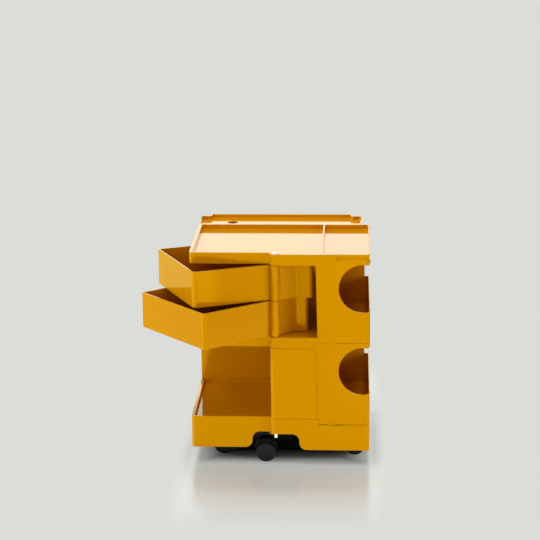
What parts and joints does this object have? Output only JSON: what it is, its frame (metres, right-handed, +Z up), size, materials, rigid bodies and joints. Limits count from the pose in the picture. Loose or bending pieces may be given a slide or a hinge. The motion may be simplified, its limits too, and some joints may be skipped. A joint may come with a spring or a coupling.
{
  "type": "rolling storage trolley",
  "caption": "Low moulded storage trolley on castors with round side niches, open bay, top trays and two stacked drawers that swing out on one corner rod.",
  "frame": {"origin": "on the floor under the middle of the whole, drawers as they stand in the picture", "axes": "+X to the right seen from the front, +Y to the back, +Z up"},
  "size_m": [0.5504, 0.5272, 0.5285],
  "materials": {
    "shell": "glossy moulded amber yellow",
    "castor_hood": "black, slightly worn",
    "wheel": "dark grey tread with fine scuffs",
    "rod": "polished"
  },
  "bodies": {
    "trolley_body": {"base": "shell", "module_lower": "shell", "module_upper": "shell", "infill_panel": "shell", "pivot_rod": "rod", "rod_cap": "rod", "rod_retainer": "castor_hood", "washer_bottom": "shell", "washer_middle": "shell", "washer_top": "shell", "front_castor_socket": "castor_hood", "front_left_castor_socket": "castor_hood", "front_right_castor_socket": "castor_hood", "rear_left_castor_socket": "castor_hood", "rear_right_castor_socket": "castor_hood"},
    "lower_drawer": {"drawer_lower": "shell"},
    "upper_drawer": {"drawer_upper": "shell"},
    "front_castor": {"front_castor_hood": "castor_hood", "front_castor_stem": "castor_hood"},
    "front_castor_wheels": {"front_castor_axle": "rod", "front_castor_wheel_a": "wheel", "front_castor_wheel_b": "wheel"},
    "front_left_castor": {"front_left_castor_hood": "castor_hood", "front_left_castor_stem": "castor_hood"},
    "front_left_castor_wheels": {"front_left_castor_axle": "rod", "front_left_castor_wheel_a": "wheel", "front_left_castor_wheel_b": "wheel"},
    "front_right_castor": {"front_right_castor_hood": "castor_hood", "front_right_castor_stem": "castor_hood"},
    "front_right_castor_wheels": {"front_right_castor_axle": "rod", "front_right_castor_wheel_a": "wheel", "front_right_castor_wheel_b": "wheel"},
    "rear_left_castor": {"rear_left_castor_hood": "castor_hood", "rear_left_castor_stem": "castor_hood"},
    "rear_left_castor_wheels": {"rear_left_castor_axle": "rod", "rear_left_castor_wheel_a": "wheel", "rear_left_castor_wheel_b": "wheel"},
    "rear_right_castor": {"rear_right_castor_hood": "castor_hood", "rear_right_castor_stem": "castor_hood"},
    "rear_right_castor_wheels": {"rear_right_castor_axle": "rod", "rear_right_castor_wheel_a": "wheel", "rear_right_castor_wheel_b": "wheel"}
  },
  "joints": [
    {"name": "lower_drawer_swing", "type": "hinge", "parent": "trolley_body", "child": "lower_drawer", "pos_m": [0.04969, -0.14437, 0.3635], "axis": [0, 0, 1], "range_deg": [-39.8, 120.2]},
    {"name": "upper_drawer_swing", "type": "hinge", "parent": "trolley_body", "child": "upper_drawer", "pos_m": [0.04969, -0.14437, 0.4512], "axis": [0, 0, 1], "range_deg": [-24.2, 135.8]},
    {"name": "front_castor_swivel", "type": "hinge", "parent": "trolley_body", "child": "front_castor", "pos_m": [0.04369, -0.11937, 0.0775], "axis": [0, 0, 1], "continuous": true},
    {"name": "front_castor_roll", "type": "hinge", "parent": "front_castor", "child": "front_castor_wheels", "pos_m": [0.02474, -0.1207, 0.024], "axis": [0.0698, -0.9976, 0], "continuous": true},
    {"name": "front_left_castor_swivel", "type": "hinge", "parent": "trolley_body", "child": "front_left_castor", "pos_m": [-0.10081, -0.06437, 0.0775], "axis": [0, 0, 1], "continuous": true},
    {"name": "front_left_castor_roll", "type": "hinge", "parent": "front_left_castor", "child": "front_left_castor_wheels", "pos_m": [-0.08186, -0.06305, 0.024], "axis": [-0.0698, 0.9976, 0], "continuous": true},
    {"name": "front_right_castor_swivel", "type": "hinge", "parent": "trolley_body", "child": "front_right_castor", "pos_m": [0.22119, -0.06437, 0.0775], "axis": [0, 0, 1], "continuous": true},
    {"name": "front_right_castor_roll", "type": "hinge", "parent": "front_right_castor", "child": "front_right_castor_wheels", "pos_m": [0.24008, -0.06636, 0.024], "axis": [0.1045, 0.9945, 0], "continuous": true},
    {"name": "rear_left_castor_swivel", "type": "hinge", "parent": "trolley_body", "child": "rear_left_castor", "pos_m": [-0.10081, 0.20963, 0.0775], "axis": [0, 0, 1], "continuous": true},
    {"name": "rear_left_castor_roll", "type": "hinge", "parent": "rear_left_castor", "child": "rear_left_castor_wheels", "pos_m": [-0.08584, 0.22132, 0.024], "axis": [-0.6157, 0.788, 0], "continuous": true},
    {"name": "rear_right_castor_swivel", "type": "hinge", "parent": "trolley_body", "child": "rear_right_castor", "pos_m": [0.19919, 0.20963, 0.0775], "axis": [0, 0, 1], "continuous": true},
    {"name": "rear_right_castor_roll", "type": "hinge", "parent": "rear_right_castor", "child": "rear_right_castor_wheels", "pos_m": [0.18241, 0.21855, 0.024], "axis": [-0.4695, -0.8829, 0], "continuous": true}
  ]
}
